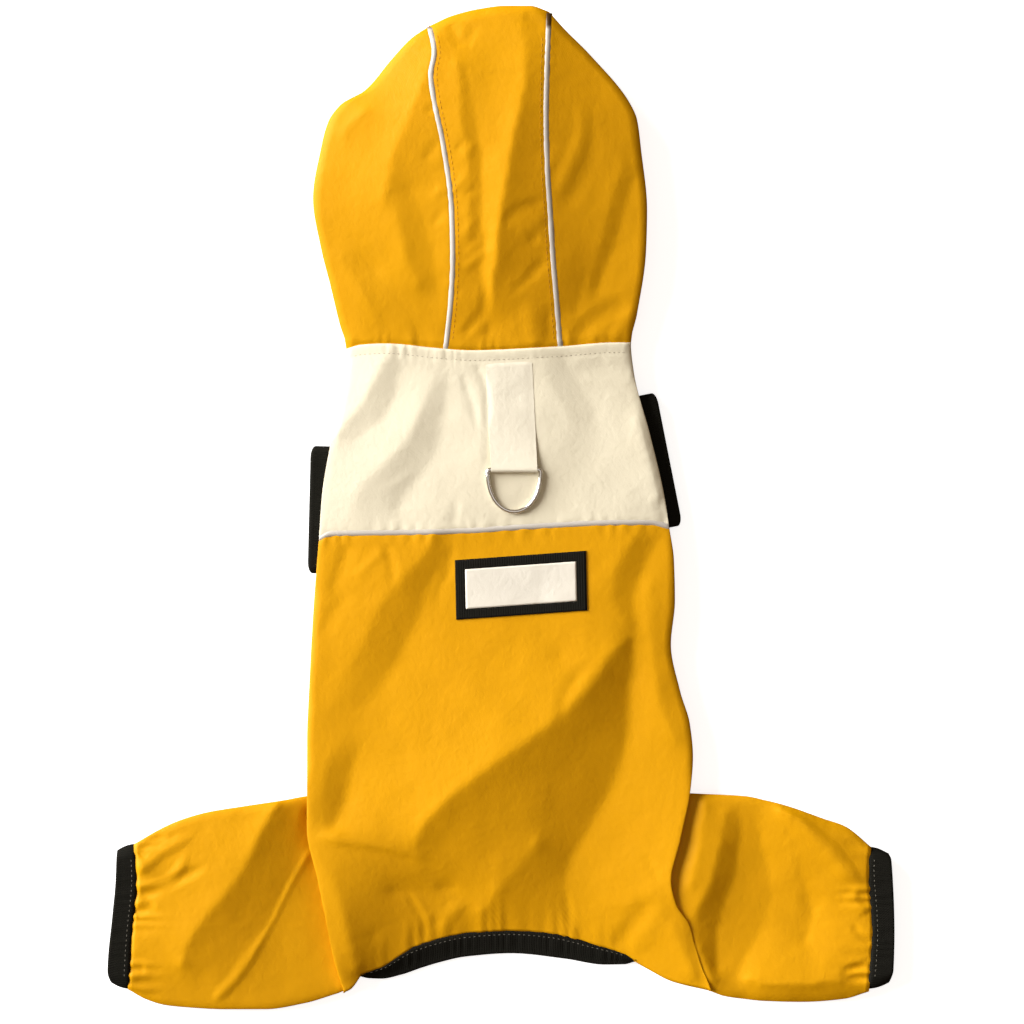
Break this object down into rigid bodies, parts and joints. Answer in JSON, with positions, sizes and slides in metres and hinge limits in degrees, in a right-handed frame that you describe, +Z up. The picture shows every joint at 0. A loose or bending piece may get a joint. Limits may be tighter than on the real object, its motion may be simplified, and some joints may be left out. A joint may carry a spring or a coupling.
{
  "type": "dog raincoat",
  "caption": "Hooded dog raincoat with rear trouser legs, laid flat, back up: contrast yoke, piped seams, bound cuffs and hem, tape tab with a D-ring on the yoke.",
  "frame": {"origin": "bottom centre of the laid-flat garment's bounding box", "axes": "+Y from the rear hem to the hood's crown, +X across the garment to the right as seen from above, +Z up from the surface that it lies on"},
  "size_m": [0.394, 0.502, 0.0318],
  "materials": {
    "coated_cloth": "golden yellow coated polyester, soft sheen",
    "yoke_cloth": "cream coated polyester, matte",
    "tape": "cream cloth tape, sewn flat",
    "label_cloth": "cream woven cloth, matte",
    "reflective_piping": "light grey reflective tape over a cord",
    "binding": "black folded elastic binding, matte",
    "ring_metal": "polished nickel-plated wire"
  },
  "bodies": {
    "garment": {"hood_center": "coated_cloth", "hood_left": "coated_cloth", "hood_right": "coated_cloth", "hood_piping_left": "reflective_piping", "hood_piping_right": "reflective_piping", "yoke": "yoke_cloth", "yoke_piping": "reflective_piping", "leash_tab": "tape", "back_panel": "coated_cloth", "label_border": "binding", "label_insert": "label_cloth", "leg_left": "coated_cloth", "leg_right": "coated_cloth", "leg_cuff_left": "binding", "leg_cuff_right": "binding", "rear_hem_binding": "binding", "front_cuff_left": "binding", "front_cuff_right": "binding", "belly_left": "coated_cloth", "belly_right": "coated_cloth"},
    "ring": {"d_ring": "ring_metal"}
  },
  "joints": [
    {"name": "ring_swing", "type": "hinge", "parent": "garment", "child": "ring", "pos_m": [0.0066, 0.0194, 0.01613], "axis": [-1, 0, 0], "range_deg": [0, 150]}
  ]
}
